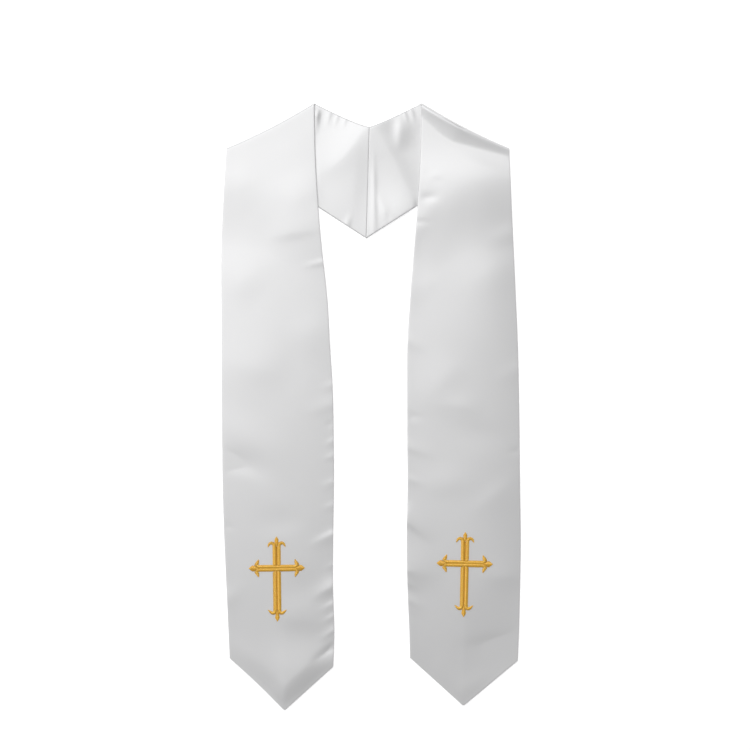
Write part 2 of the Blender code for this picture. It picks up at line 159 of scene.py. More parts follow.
# The creases are placed by the photograph. Its scale, the column of the centre back line in it and
# the row of the top of the neck corner.
MM_PER_PIXEL = 1.27
CENTRE_BACK_COLUMN = 367.75
NECK_TOP_ROW = 103.18

# Creases, in the photograph's pixels and in millimetres: start and end as (column, row), height,
# half widths on the shoulder side and on the point side, how far the line bows, the share of its
# length where it is fullest, and how round its crest is.
FRONT_CREASES = {
    "left": [
        ((334, 533), (304, 548), 0.8, (4.5, 9.0), 0, 0.0, 1.6),
        ((334, 564), (320, 571), 0.25, (3.0, 3.0), 0, 0.0, 2.0),
        ((334, 586), (306, 601), 1.4, (11.0, 7.0), 0, 0.0, 1.6),
        ((334, 603), (316, 612), 0.5, (3.5, 5.5), 0, 0.0, 1.8),
        ((334, 616), (318, 624), 0.4, (3.0, 4.0), 0, 0.0, 1.8),
        ((334, 630), (316, 642), 0.6, (5.0, 4.0), 0, 0.0, 1.6),
        ((335, 645), (306, 666), -1.3, (4.5, 6.0), 0, 0.1, 1.7),
        ((334, 622), (262, 612), 0.9, (26.0, 15.0), 0, 0.5, 2.0),
        ((328, 590), (276, 586), -0.45, (18.0, 20.0), 0, 0.5, 2.0),
        ((337, 654), (276, 722), 3.8, (46.0, 14.0), -8.5, 0.45, 2.0),
        ((337, 660), (316, 670), 0.8, (5.0, 9.0), 0, 0.0, 1.7),
        ((302, 700), (268, 690), 0.9, (16.0, 10.0), 0, 0.5, 2.0),
        ((228, 646), (268, 688), 0.8, (20.0, 10.0), 0, 0.4, 2.0),
        ((334, 404), (300, 414), 0.35, (10.0, 8.0), 0, 0.0, 1.8),
        ((334, 384), (318, 391), 0.25, (5.0, 5.0), 0, 0.0, 2.0),
        ((334, 422), (322, 427), -0.3, (3.0, 4.0), 0, 0.0, 2.0),
        ((334, 440), (322, 447), 0.3, (3.5, 4.0), 0, 0.0, 2.0),
        ((334, 456), (320, 461), 0.3, (4.0, 3.0), 0, 0.0, 2.0),
        ((334, 482), (316, 489), 0.3, (5.0, 6.0), 0, 0.0, 2.0),
        ((334, 505), (318, 510), 0.3, (4.0, 5.0), 0, 0.0, 2.0),
        ((323, 262), (298, 268), 0.3, (3.5, 4.0), 0, 0.0, 2.0),
        ((219, 460), (276, 486), -0.8, (14.0, 11.0), -8, 0.25, 1.8),
        ((219, 357), (296, 372), 0.7, (36.0, 26.0), 5, 0.5, 1.7),
        ((330, 322), (286, 352), 0.5, (24.0, 30.0), 0, 0.4, 2.0),
        ((219, 420), (300, 470), 0.5, (22.0, 18.0), 0, 0.4, 2.0),
        ((224, 524), (238, 530), -0.3, (3.0, 4.0), 0, 0.0, 2.0),
        ((226, 600), (250, 580), 0.4, (10.0, 12.0), 0, 0.0, 2.0),
        ((256, 524), (312, 520), -0.35, (18.0, 14.0), 0, 0.5, 2.0),
        ((318, 185), (280, 205), 0.35, (22.0, 16.0), 0, 0.4, 2.0),
        ((320, 228), (262, 238), 0.4, (20.0, 8.0), 0, 0.5, 1.8),
        ((224, 200), (262, 172), 0.35, (22.0, 26.0), 0, 0.4, 2.0),
        ((219, 262), (262, 300), 0.5, (30.0, 24.0), 0, 0.5, 2.0),
    ],
    "right": [
        ((404, 519), (438, 545), 1.2, (16.0, 5.0), 0, 0.0, 1.7),
        ((402, 571), (450, 574), 1.6, (26.0, 16.0), 0, 0.05, 1.8),
        ((404, 570), (420, 573), 0.3, (3.5, 2.5), 0, 0.0, 1.8),
        ((404, 582), (424, 590), 0.5, (4.5, 3.5), 0, 0.0, 1.8),
        ((404, 598), (428, 611), 0.8, (6.0, 4.0), 0, 0.0, 1.8),
        ((406, 606), (428, 618), 0.35, (6.0, 5.0), 0, 0.0, 2.0),
        ((524, 576), (470, 577), 0.8, (22.0, 14.0), 0, 0.35, 1.5),
        ((530, 638), (446, 650), -0.9, (9.0, 26.0), -1, 0.45, 1.5),
        ((405, 446), (440, 460), 0.4, (9.0, 6.0), 0, 0.1, 1.8),
        ((405, 414), (428, 420), -0.35, (4.0, 5.0), 0, 0.0, 2.0),
        ((405, 478), (430, 486), 0.35, (5.0, 6.0), 0, 0.1, 2.0),
        ((524, 449), (500, 455), -0.3, (4.0, 4.0), 0, 0.1, 2.0),
        ((404, 340), (430, 352), 0.4, (9.0, 7.0), 0, 0.0, 2.0),
        ((416, 408), (470, 352), 0.6, (26.0, 20.0), 0, 0.5, 1.8),
        ((434, 404), (486, 416), 0.5, (16.0, 12.0), -5, 0.5, 1.7),
        ((446, 430), (524, 440), -0.4, (16.0, 20.0), 0, 0.4, 2.0),
        ((516, 478), (462, 522), 0.5, (12.0, 24.0), 0, 0.4, 1.8),
        ((514, 232), (478, 244), 0.5, (12.0, 12.0), 0, 0.1, 2.0),
        ((519, 368), (490, 384), 0.3, (9.0, 12.0), 0, 0.1, 2.0),
        ((516, 262), (452, 296), 0.5, (20.0, 26.0), 0, 0.3, 2.0),
        ((400, 282), (432, 300), 0.8, (22.0, 24.0), 0, 0.2, 2.0),
        ((458, 700), (500, 672), 0.8, (14.0, 9.0), 0, 0.4, 2.0),
        ((420, 672), (462, 708), 0.6, (24.0, 8.0), 0, 0.7, 2.0),
        ((405, 640), (440, 668), -0.3, (14.0, 20.0), 0, 0.4, 2.0),
        ((438, 197), (417, 199), -0.6, (6.0, 5.0), 0, 0.5, 1.8),
        ((442, 176), (424, 178), 0.3, (5.0, 5.0), 0, 0.5, 1.8),
        ((430, 222), (412, 222), -0.35, (3.5, 4.0), 0, 0.7, 1.8),
        ((442, 184), (422, 170), -0.25, (5.0, 5.0), 0, 0.5, 1.8),
        ((395, 184), (560, 177), 3.2, (36.0, 52.0), 0, 0.48, 1.9),
        ((408, 244), (440, 190), 0.4, (14.0, 12.0), 0, 0.4, 2.0),
        ((429, 232), (434, 320), 0.35, (20.0, 14.0), 0, 0.5, 2.0),
        ((420, 486), (486, 480), 0.45, (20.0, 16.0), 0, 0.4, 2.0),
        ((478, 230), (500, 400), 0.8, (30.0, 60.0), 0, 0.4, 2.0),
    ],
}
# The back's creases run over both halves.
BACK_CREASES = [
    ((364, 128), (304, 181), 1.9, (30.0, 22.0), 10.0, 0.35, 1.5),
    ((316, 90), (312, 138), 4.8, (10.0, 5.0), 0, 0.4, 2.0),
    ((330, 110), (326, 131), 0.6, (2.4, 3.0), 0, 0.0, 1.6),
    ((338, 115), (333, 131), 0.4, (2.0, 2.4), 0, 0.0, 1.6),
    ((346, 119), (342, 132), 0.45, (3.0, 2.4), 0, 0.0, 1.6),
    ((345, 230), (352, 211), 0.9, (3.0, 2.2), 0, 0.0, 1.5),
    ((313, 174), (312, 216), 1.4, (9.0, 6.0), 0, 0.6, 2.0),
    ((416, 216), (364, 112), 2.4, (17.0, 34.0), -6.0, 0.6, 1.5),
    ((356, 142), (400, 88), 3.0, (20.0, 34.0), 0, 0.45, 1.8),
    ((366, 130), (390, 108), 0.8, (8.0, 16.0), 0, 0.5, 1.8),
    ((372, 240), (432, 190), 2.6, (32.0, 20.0), 0, 0.5, 1.8),
    ((400, 146), (401, 110), 1.5, (7.0, 14.0), 0, 0.45, 1.9),
    ((356, 146), (350, 238), 1.1, (30.0, 18.0), 0, 0.4, 1.8),
    ((374.0, 240), (373.5, 140), 0.8, (3.0, 3.0), 0, 0.35, 1.8),
    ((404, 111), (408, 127), 0.5, (2.0, 2.4), 0, 0.0, 1.6),
    ((410, 107), (416, 129), 0.7, (2.4, 3.0), 0, 0.0, 1.5),
    ((416, 103), (424, 124), 0.6, (2.4, 2.6), 0, 0.0, 1.5),
    ((377, 192), (388, 224), 0.8, (6.0, 3.5), 0, 0.6, 1.7),
    ((394, 224), (388, 211), 0.6, (3.0, 3.0), 0, 0.0, 1.6),
]
# How far the back's relief takes to rise from under a front panel, and the room that it leaves
# under the panel.
COVER_RUN = 0.004
COVER_ROOM = 0.0002

# How far before its start a crease begins, as a share of its length.
CREASE_LEAD = 0.25

# Where relief starts, counted from the fold, and how far on it is full, on the front and on the
# back.
FRONT_FADE = (0.004, 0.030)
BACK_FADE = (0.002, 0.012)

# How far from the fold a panel's crown is full, and how far from the edges of its point. How far in
# from those edges its creases are full, and the share of their height that is left at the edges.
CROWN_RUN = 0.160
CROWN_SETTLES = 0.120
POINT_SETTLES = 0.026
POINT_LIFT = 0.3

# The share of a front panel's length from which its rows bend towards the point, and how far back
# from the point's corners its edges begin to count as the nearest.
POINT_STARTS = 0.72
CORNER_REACH = 0.010

# The grid of a shell: the pitch of its rows and columns, its rows round the fold, and the width
# between its rounded edges. The runs turn a step in from the seam or from the point into a share of
# the back's or the front's length. One row, as a share of all, is well inside the front.
ROW_PITCH = 0.0022
COLUMN_PITCH = 0.0023
FOLD_ROWS = 18
MIDDLE_WIDTH = 0.139
SEAM_STEP_RUN = 0.17
POINT_STEP_RUN = 0.73 * FRONT_RUN
FRONT_ROW = 0.7

# How a cloth rounds off towards its edge: how far in from the edge, and how far from the strip's
# middle surface, for its outside and its inside.
FACE_EDGE = {
    "outside": [
        (0.0, -0.0001), (0.00004, 0.00035), (0.00012, 0.00073), (0.00028, 0.00097),
        (0.0006, 0.00109), (0.0011, 0.00113), (0.0021, FAR),
    ],
    "inside": [
        (0.00002, -0.0003), (0.0001, -0.00062), (0.0003, -0.0008), (0.00058, -0.0008),
        (0.00062, -0.0003), (0.00068, NEAR), (0.0021, NEAR),
    ],
}
LINING_EDGE = {
    "outside": [
        (0.0, 0.00060), (0.00005, 0.00082), (0.0002, 0.00098), (0.00045, 0.00108),
        (0.0008, 0.00113), (0.0013, 0.00114), (0.0021, FAR),
    ],
    "inside": [
        (0.0, 0.00050), (0.00004, 0.00025), (0.00012, NEAR), (0.0004, NEAR), (0.0008, NEAR),
        (0.0013, NEAR), (0.0021, NEAR),
    ],
}

# The cross's arms as in the solids, each with how far out the middle line of its two stitched
# columns runs, and where they start. The bars' columns overlap a little. Of an arm's end, the
# barb's middle line as (back from the tip, out from the arm's middle line, width) and the bud's as
# (back from the tip, width).
CROSS_ARMS = [
    {"turn": 0, "length": 0.0355, "half": 0.0043, "middle": 0.0018, "end": "bar", "start": -0.0002},
    {"turn": 90, "length": 0.0400, "half": 0.0052, "middle": 0.0026, "end": "top", "start": 0.0040},
    {"turn": 180, "length": 0.0355, "half": 0.0043, "middle": 0.0018, "end": "bar", "start": -0.0002},
    {"turn": 270, "length": 0.0675, "half": 0.0052, "middle": 0.0026, "end": "foot", "start": 0.0040},
]
ARM_ENDS = {
    "bar": {
        "stem_back": 0.0136,
        "barb": [
            (0.0112, 0.0024, 0.0052), (0.0099, 0.0040, 0.0062), (0.0102, 0.0060, 0.0050),
            (0.0111, 0.0080, 0.0036), (0.0118, 0.0097, 0.0023), (0.0123, 0.0110, 0.0008),
        ],
        "bud": [
            (0.0122, 0.0020), (0.0096, 0.0050), (0.0070, 0.0068), (0.0052, 0.0080), (0.0036, 0.0066),
            (0.0018, 0.0038), (0.0002, 0.0008),
        ],
    },
    "top": {
        "stem_back": 0.0140,
        "barb": [
            (0.0110, 0.0028, 0.0052), (0.0089, 0.0042, 0.0050), (0.0080, 0.0060, 0.0041),
            (0.0083, 0.0080, 0.0036), (0.0097, 0.0096, 0.0029), (0.0115, 0.0105, 0.0019),
            (0.0130, 0.0110, 0.0007),
        ],
        "bud": [
            (0.0112, 0.0016), (0.0082, 0.0044), (0.0058, 0.0049), (0.0040, 0.0051), (0.0024, 0.0037),
            (0.0010, 0.0020), (0.0, 0.0006),
        ],
    },
    "foot": {
        "stem_back": 0.0160,
        "barb": [
            (0.0130, 0.0028, 0.0052), (0.0110, 0.0041, 0.0050), (0.0105, 0.0058, 0.0043),
            (0.0111, 0.0076, 0.0037), (0.0123, 0.0092, 0.0027), (0.0136, 0.0106, 0.0016),
            (0.0146, 0.0116, 0.0006),
        ],
        "bud": [
            (0.0132, 0.0016), (0.0100, 0.0044), (0.0074, 0.0050), (0.0050, 0.0059), (0.0028, 0.0042),
            (0.0012, 0.0022), (0.0, 0.0006),
        ],
    },
}
STEM_KNOTS = 5

# The threads: how far apart they lie, their half width, the steps along one and the sides of its
# tube, their slant in a column, how flat they are, and the step from one thread's tone to the next.
THREAD_PITCH = 0.00040
THREAD_HALF = 0.00023
THREAD_STEPS = 8
THREAD_SIDES = 6
THREAD_SLANT = math.radians(24)
THREAD_FLAT = 0.55
TONE_STEP = 0.618034

# The stitches: how high a full one stands, how round it is and how far its ends sink. The share of
# that height which one has grows with its width over the scale, from the narrow share up to all.
STITCH_HEIGHT = 0.00125
STITCH_ROUND = 0.65
STITCH_SINK = 0.00012
NARROW_SHARE = 0.35
WIDTH_SCALE = 0.006

# The table, just under the stole, and the camera, which looks straight down.
FLOOR_LEVEL = -0.0002
FLOOR_REACH = 30.0
FLOOR_TONES = (0.93, 0.96)
FLOOR_GRAIN = 3.0
FLOOR_ROUGHNESS = 0.9
FLOOR_GLOW = 0.45
CAMERA_HEIGHT = 2.249
CAMERA_AT = (0.0050, 0.0403)
CAMERA_LENS = 85
CAMERA_SENSOR = 36
CAMERA_REACH = 20.0

# One large soft light. The room's own light fades from its brightest on one side to its darkest on
# the other. Its walls are paler low down, which fades out between two rises.
KEY_PLACE = (-0.70, 1.00, 3.0)
KEY_SIZE = (3.2, 1.8)
KEY_POWER = 41.2
ROOM_BRIGHT_SIDE = (-0.55, 0.83, 0.0)
ROOM_FADE = 0.6
ROOM_LIGHT = (0.06, 0.62)
WALL_RISE = (0.20, 0.50)
WALL_LIGHT = 0.50
WHITE = (1.0, 1.0, 1.0, 1.0)

# Satin: its colours, its gloss, the scales of its floats, slubs and broader tones across and along
# the strip, and how much roughness and tone vary. A bump is its strength and its height.
SATIN_WHITE = (0.86, 0.86, 0.865)
LINING_WHITE = (0.85, 0.85, 0.855)
SATIN_ROUGHNESS = 0.40
SATIN_METALLIC = 0.30
SATIN_ANISOTROPIC = 0.2
SATIN_SHEEN = 0.08
FLOAT_SCALE = (4200.0, 420.0, 1.0)
SLUB_SCALE = (90.0, 900.0, 1.0)
TONE_SCALE = 9.0
ROUGHNESS_SPREAD = 0.03
TONE_SPREAD = 0.03
WEAVE_BUMP = (0.25, 0.00006)

# Gold thread: the colours of its darkest and its brightest threads, its gloss and its twist.
GOLD_DARK = (0.95648, 0.456, 0.025, 1.0)
GOLD_BRIGHT = (1.0, 0.6612, 0.080, 1.0)
THREAD_ROUGHNESS = 0.34
THREAD_METALLIC = 0.30
THREAD_COAT = 1.0
THREAD_COAT_ROUGHNESS = 0.20
THREAD_SHEEN = 0.1
TWIST_SCALE = 9000.0
TWIST_BUMP = (0.3, 0.00004)


def ease(share):
    """0 up to 0, 1 from 1 on, and a smooth step between."""
    share = np.clip(share, 0.0, 1.0)
    return share * share * (3 - 2 * share)


def blend(a, b, share):
    """A place between two (out, down) places, for arrays of places or of shares."""
    return tuple(p + (q - p) * share for p, q in zip(a, b))


def curve_through(points, at):
    """The values at places on a smooth curve through (place, value) points."""
    x, y = np.array(points, dtype=float).T
    here = np.clip(np.searchsorted(x, at, side="right") - 1, 0, len(x) - 2)
    before, after = np.maximum(here - 1, 0), np.minimum(here + 2, len(x) - 1)
    x0, x1, y0, y1 = x[here], x[here + 1], y[here], y[here + 1]
    slope0 = (y1 - y[before]) / (x1 - x[before])
    slope1 = (y[after] - y0) / (x[after] - x0)
    span = x1 - x0
    t = (at - x0) / span
    return (
        y0 * (1 + 2 * t) * (1 - t) ** 2
        + slope0 * span * t * (1 - t) ** 2
        + y1 * t * t * (3 - 2 * t)
        - slope1 * span * t * t * (1 - t)
    )


def metres(millimetres):
    """Millimetres as metres, to a hundredth of a millimetre."""
    return round(millimetres / 1000, 5)


def from_photo(pixel, hand):
    """Where a pixel of the photograph lies on the cloth, as (out, down), to the millimetre."""
    column, row = pixel
    out = hand * MM_PER_PIXEL * (column - CENTRE_BACK_COLUMN) / 1000
    down = MM_PER_PIXEL * (row - NECK_TOP_ROW) / 1000
    return round(out, 3), round(down, 3)


def placed_creases(rows, hand):
    """The creases of a table on the cloth, in metres, with out counted towards the hand's side."""
    creases = []
    for start, end, height, (above, below), bow, fullest, power in rows:
        line = (from_photo(start, hand), from_photo(end, hand))
        half_widths = (metres(above), metres(below))
        creases.append((*line, metres(height), half_widths, metres(bow), fullest, power))
    return creases


def crease_relief(creases, out, down):
    """The height that soft troughs and ridges add at places on the cloth."""
    total = np.zeros_like(out)
    for start, end, height, (above, below), bow, fullest, power in creases:
        run = (end[0] - start[0], end[1] - start[1])
        length = math.hypot(*run)
        along = (run[0] / length, run[1] / length)
        side = (-along[1], along[0]) if along[0] > 0 else (along[1], -along[0])
        away = (out - start[0], down - start[1])
        t = (away[0] * along[0] + away[1] * along[1]) / length
        # How far off the line, and positive on the point's side.
        off = away[0] * side[0] + away[1] * side[1]
        off = off - bow * 4 * np.clip(t, 0, 1) * (1 - np.clip(t, 0, 1))
        across = np.abs(np.where(off < 0, off / above, off / below))
        rising = ease((t + CREASE_LEAD) / (fullest + CREASE_LEAD))
        falling = 1 - ease((t - fullest) / (1 - fullest))
        total += height * np.exp(-(across**power)) * rising * falling
    return total


def unit(a, b):
    """The direction from one place to another."""
    run = (b[0] - a[0], b[1] - a[1])
    length = math.hypot(*run)
    return run[0] / length, run[1] / length


class HalfStole:
    """The middle surface of one half strip, between its face and its lining."""

    def __init__(self, side):
        self.side = side
        self.hand = side["hand"]
        self.radii = [row[:2] for row in side["fold"]]
        self.sinks = [(row[0], row[2]) for row in side["fold"]]
        run = (FOLD_NECK[0] - FOLD_OUTER[0], FOLD_NECK[1] - FOLD_OUTER[1])
        self.fold_length = math.hypot(*run)
        self.along = unit(FOLD_OUTER, FOLD_NECK)
        self.inward = (self.along[1], -self.along[0])
        self.drift = run[1] / run[0]
        start_outer, start_inner = (self.fold_place(end, 0.0) for end in (0, 1))
        rows = side["edges"]
        self.outer_edge = [start_outer[::-1]] + [(row[0], row[1]) for row in rows]
        self.inner_edge = [start_inner[::-1], INNER_BELOW_FOLD]
        self.inner_edge += [(row[0], row[2]) for row in rows]
        lean = SEAM_LEAN * self.hand
        self.notch = (CENTRE_GAP / 2 + lean, NOTCH_DOWN)
        self.back_point = (CENTRE_GAP / 2 - lean, BACK_POINT_DOWN)
        self.back_outer = self.fold_place(0, math.pi)
        self.back_inner = self.fold_place(1, math.pi)
        self.point_edges = []
        for line, corner_down in (
            (self.outer_edge, side["outer_corner_down"]),
            (self.inner_edge, side["inner_corner_down"]),
        ):
            corner = (float(curve_through(line, corner_down)), corner_down)
            self.point_edges.append((corner, unit(corner, side["point"])))
        self.front_creases = placed_creases(FRONT_CREASES[side["name"]], self.hand)
        # The back's run over both halves, so they count to the right of the centre line.
        self.back_creases = placed_creases(BACK_CREASES, 1)

    def fold_place(self, u, angle):
        """(out, down) in the fold: u from its outer end to its neck, angle 0 at the front's top and
        a half turn at the back. The strip meets the fold askew, so it drifts along as it turns."""
        base = blend(FOLD_OUTER, FOLD_NECK, u)
        radius = curve_through(self.radii, u)
        inside = radius + SANDWICH / 2 - radius * np.sin(angle)
        inside = inside + FOLD_DIP * 4 * u * (1 - u)
        drift = radius * self.drift * (angle - math.pi / 2)
        return tuple(
            b + inward * inside + along * drift
            for b, inward, along in zip(base, self.inward, self.along)
        )

    def fold_share(self, out, down):
        """The share of the fold, from its outer end, that a place on the front lies below."""
        away = (out - FOLD_OUTER[0], down - FOLD_OUTER[1])
        share = (away[0] * self.along[0] + away[1] * self.along[1]) / self.fold_length
        return np.clip(share, 0.0, 1.0)

    def from_fold(self, out, down):
        """How far a place on the front lies inside the fold's own line."""
        away = (out - FOLD_OUTER[0], down - FOLD_OUTER[1])
        share = self.fold_share(out, down)
        inside = away[0] * self.inward[0] + away[1] * self.inward[1]
        inside = inside - curve_through(self.radii, share) - SANDWICH / 2
        return inside - FOLD_DIP * 4 * share * (1 - share)

    def from_point(self, out, down):
        """How far a place on the front lies from the nearer of its point's two edges' lines."""
        return np.minimum(*(
            np.abs((out - corner[0]) * run[1] - (down - corner[1]) * run[0])
            for corner, run in self.point_edges
        ))

    def front_height(self, out, down):
        """The height of the middle surface of the front panel, which rests on the back or on the
        table, sinks from the fold, and rises in creases and in its crown."""
        side = self.side
        past = down - curve_through(side["step"], out)
        carried = 1 - ease(past / side["step_run"])
        rest = (SANDWICH + LAYER_GAP) * carried
        share = self.fold_share(out, down)
        inside = self.from_fold(out, down)
        spare = 2 * curve_through(self.radii, share) - SANDWICH - LAYER_GAP
        left = np.clip(1 - inside / curve_through(self.sinks, share), 0.0, 1.0)
        roll = spare * left**SINK_POWER
        settled = ease((inside - FRONT_FADE[0]) / FRONT_FADE[1])
        outer = curve_through(self.outer_edge, down)
        inner = curve_through(self.inner_edge, down)
        u = np.clip((outer - out) / (outer - inner), 0, 1)
        relief = crease_relief(self.front_creases, out, down)
        crown, lean = side["crown"]
        from_point = self.from_point(out, down)
        arch = crown * 4 * u * (1 - u) * (1 + lean * (1 - 2 * u)) * ease(inside / CROWN_RUN)
        arch = arch * ease(from_point / CROWN_SETTLES)
        risen = POINT_LIFT + (1 - POINT_LIFT) * ease(from_point / POINT_SETTLES)
        relief = (relief * risen + arch) * settled
        return SANDWICH / 2 + rest + roll + np.maximum(relief, -rest)

    def back_height(self, out, down):
        """The height of the middle surface of the back, which keeps clear of the panel over it."""
        relief = crease_relief(self.back_creases, self.hand * out, down)
        settled = ease((self.from_fold(out, down) - BACK_FADE[0]) / BACK_FADE[1])
        relief = np.maximum(relief * settled, 0.0)
        inner = curve_through(self.inner_edge, down)
        covered = ease((out - inner + COVER_RUN) / COVER_RUN)
        panel_underside = self.front_height(out, down) - SANDWICH / 2
        room = panel_underside - SANDWICH - COVER_ROOM
        relief = relief * (1 - covered) + np.minimum(relief, np.maximum(room, 0.0)) * covered
        return SANDWICH / 2 + relief

    def front_places(self, share, u):
        """Places on the front at shares of its length (a column) and of its width (an array)."""
        side = self.side
        ends = []
        for line, corner in (
            (self.outer_edge, "outer_corner_down"),
            (self.inner_edge, "inner_corner_down"),
        ):
            down = line[0][0] + (side[corner] - line[0][0]) * share
            ends.append((curve_through(line, down), down))
        middle = blend(*ends, 0.5)
        pull = ease((share - POINT_STARTS) / (1 - POINT_STARTS)) ** 2
        shift = (side["point"][0] - middle[0], side["point"][1] - middle[1])
        tent = 1 - np.abs(2 * u - 1)
        bow = np.where(u > 0.5, side["end_bow"][1], side["end_bow"][0]) * 4 * tent * (1 - tent)
        dip = FOLD_DIP * 4 * u * (1 - u) * (1 - ease(share * FRONT_RUN / FOLD_DIP_REACH))
        place = blend(*ends, u)
        out = place[0] + pull * tent * shift[0] + dip * self.inward[0]
        down = place[1] + pull * (tent * shift[1] - bow) + dip * self.inward[1]
        return out, down, self.front_height(out, down)

    def fold_places(self, angle, u):
        """Places round the fold, from the back (a half turn) to the front (0)."""
        out, down = self.fold_place(u, angle)
        height = SANDWICH / 2 + curve_through(self.radii, u) * (1 + np.cos(angle))
        return out, down, height

    def back_places(self, share, u):
        """Places on the back, from the fold (share 0) to the centre seam (share 1)."""
        outer = blend(self.back_outer, self.back_point, share)
        first = blend(self.back_inner, NECK_EDGE_BEND, share)
        second = blend(NECK_EDGE_BEND, self.notch, share)
        inner = blend(first, second, share)
        dip = FOLD_DIP * 4 * u * (1 - u) * (1 - ease(share * BACK_RUN / FOLD_DIP_REACH))
        place = blend(outer, inner, u)
        out = place[0] + dip * self.inward[0]
        down = place[1] + dip * self.inward[1]
        return out, down, self.back_height(out, down)


def spaced(start, end, pitch):
    """Evenly spaced values after the start, up to and including the end."""
    count = max(1, round(abs(end - start) / pitch))
    return [start + (end - start) * (i + 1) / count for i in range(count)]


def strip_grid(half, profile, inset):
    """The middle surface under one side of a shell, as rows from the centre seam to the point.

    Each place has its out, down and height, how far it lies from the strip's outer and inner edges,
    and how far it lies ahead of a straight row. With the grid come the numbers of rows in the back
    and in the fold."""
    steps = [d for d, _ in profile]
    seam_shares = [1 - d / SEAM_STEP_RUN for d in steps]
    shares = seam_shares + spaced(seam_shares[-1], 0.0, ROW_PITCH / BACK_RUN)[:-1]
    angles = [math.pi * (1 - i / FOLD_ROWS) for i in range(FOLD_ROWS)]
    end_shares = [1 - (d + inset) / POINT_STEP_RUN for d in reversed(steps)]
    fronts = [0.0] + spaced(0.0, end_shares[0], ROW_PITCH / FRONT_RUN)[:-1] + end_shares
    columns = 2 * len(steps) + round(MIDDLE_WIDTH / COLUMN_PITCH)
    parts = []
    for places, values in (
        (half.back_places, shares),
        (half.fold_places, angles),
        (half.front_places, fronts),
    ):
        value = np.array(values)[:, None]
        ends = [np.array(places(value, np.full_like(value, u)))[:2] for u in (0.0, 1.0)]
        width = np.hypot(*(ends[0] - ends[1]))
        near = np.array(steps) + inset
        middle = np.linspace(near[-1], width[:, 0] - near[-1], columns - 2 * len(near) + 2).T
        across = np.hstack([
            np.tile(near, (len(values), 1)),
            middle[:, 1:-1],
            width - near[::-1][None, :],
        ])
        out, down, height = places(value, across / width)
        straight = ends[0][1] + (ends[1][1] - ends[0][1]) * across / width
        ahead = np.where(places == half.front_places, down - straight, 0.0)
        parts.append(np.dstack([out, down, height, across, width - across, ahead]))
    grid = np.vstack(parts)
    return grid, len(shares), len(angles)


def edge_distance(half, grid, rows_back, rows_fold, inset):
    """How far each place lies from the nearest edge of its shell."""
    distance = np.minimum(grid[..., 3], grid[..., 4]) - inset
    out, down = grid[..., 0], grid[..., 1]
    first_front = rows_back + rows_fold
    seam = out[:rows_back] - seam_line(half, down[:rows_back])
    distance[:rows_back] = np.minimum(distance[:rows_back], seam)
    for corner, run in half.point_edges:
        away = (out[first_front:] - corner[0], down[first_front:] - corner[1])
        off = np.abs(away[0] * run[1] - away[1] * run[0])
        past = away[0] * run[0] + away[1] * run[1] > -CORNER_REACH
        near = np.where(past, off - inset, 1.0)
        distance[first_front:] = np.minimum(distance[first_front:], near)
    return np.maximum(distance, 0.0)


def seam_line(half, down):
    """How far out the leaning centre seam lies."""
    share = (down - NOTCH_DOWN) / (BACK_POINT_DOWN - NOTCH_DOWN)
    return half.notch[0] + (half.back_point[0] - half.notch[0]) * share


def to_world(half, grid):
    """A grid's places in the frame, which the left half mirrors."""
    out, down, height = grid[..., 0], grid[..., 1], grid[..., 2]
    return np.dstack([CENTRE_BACK_X + half.hand * out, TOP_Y - down, height])


def outward(world):
    """Unit normals of a grid, pointing to the face's side: up on the front, down on the back."""
    by_row, by_column = np.gradient(world, axis=(0, 1))
    normal = np.cross(by_column, by_row)
    normal /= np.linalg.norm(normal, axis=2, keepdims=True)
    middle = normal[int(len(normal) * FRONT_ROW), normal.shape[1] // 2]
    return normal if middle[2] > 0 else -normal


def layer(half, profile, inset, direction):
    """One side of a shell as world places, and the strip coordinates of each place."""
    grid, rows_back, rows_fold = strip_grid(half, profile, inset)
    world = to_world(half, grid)
    normal = outward(world)
    distance = edge_distance(half, grid, rows_back, rows_fold, inset)
    steps, offsets = np.array(profile).T
    offset = np.interp(distance, steps, offsets)
    moved = world + normal * (offset * direction)[..., None]
    lengths = np.linalg.norm(np.diff(world, axis=0), axis=2).mean(axis=1)
    along = np.concatenate([[0.0], np.cumsum(lengths)])
    uv = np.dstack([grid[..., 3], along[:, None] + grid[..., 5]])
    return moved, uv


def shell(name, half, edge, inset, direction, finish):
    """A closed thin shell: its outside, its inside and the rim that joins them."""
    outside, uv_outside = layer(half, edge["outside"], inset, direction)
    inside, uv_inside = layer(half, edge["inside"], inset, direction)
    rows, columns = outside.shape[:2]
    verts = np.vstack([outside.reshape(-1, 3), inside.reshape(-1, 3)])
    uvs = np.vstack([uv_outside.reshape(-1, 2), uv_inside.reshape(-1, 2)])
    index = np.arange(rows * columns).reshape(rows, columns)
    top = quads(index)
    bottom = quads(index + rows * columns)[:, ::-1]
    rim = np.concatenate([
        index[0, :], index[1:, -1], index[-1, -2::-1], index[-2:0:-1, 0],
    ])
    after = np.roll(rim, -1)
    shift = rows * columns
    walls = np.stack([rim, after, after + shift, rim + shift], axis=1)
    faces = np.vstack([top, bottom, walls])
    # The left half is mirrored, and a lining is upside down, so two of the four shells are turned.
    if half.hand * direction > 0:
        faces = faces[:, ::-1]
    return mesh_piece(name, verts, faces.tolist(), finish, uvs)


def quads(index):
    """The four-sided faces of a grid of vertex numbers."""
    return np.stack(
        [index[:-1, :-1], index[1:, :-1], index[1:, 1:], index[:-1, 1:]], axis=-1
    ).reshape(-1, 4)


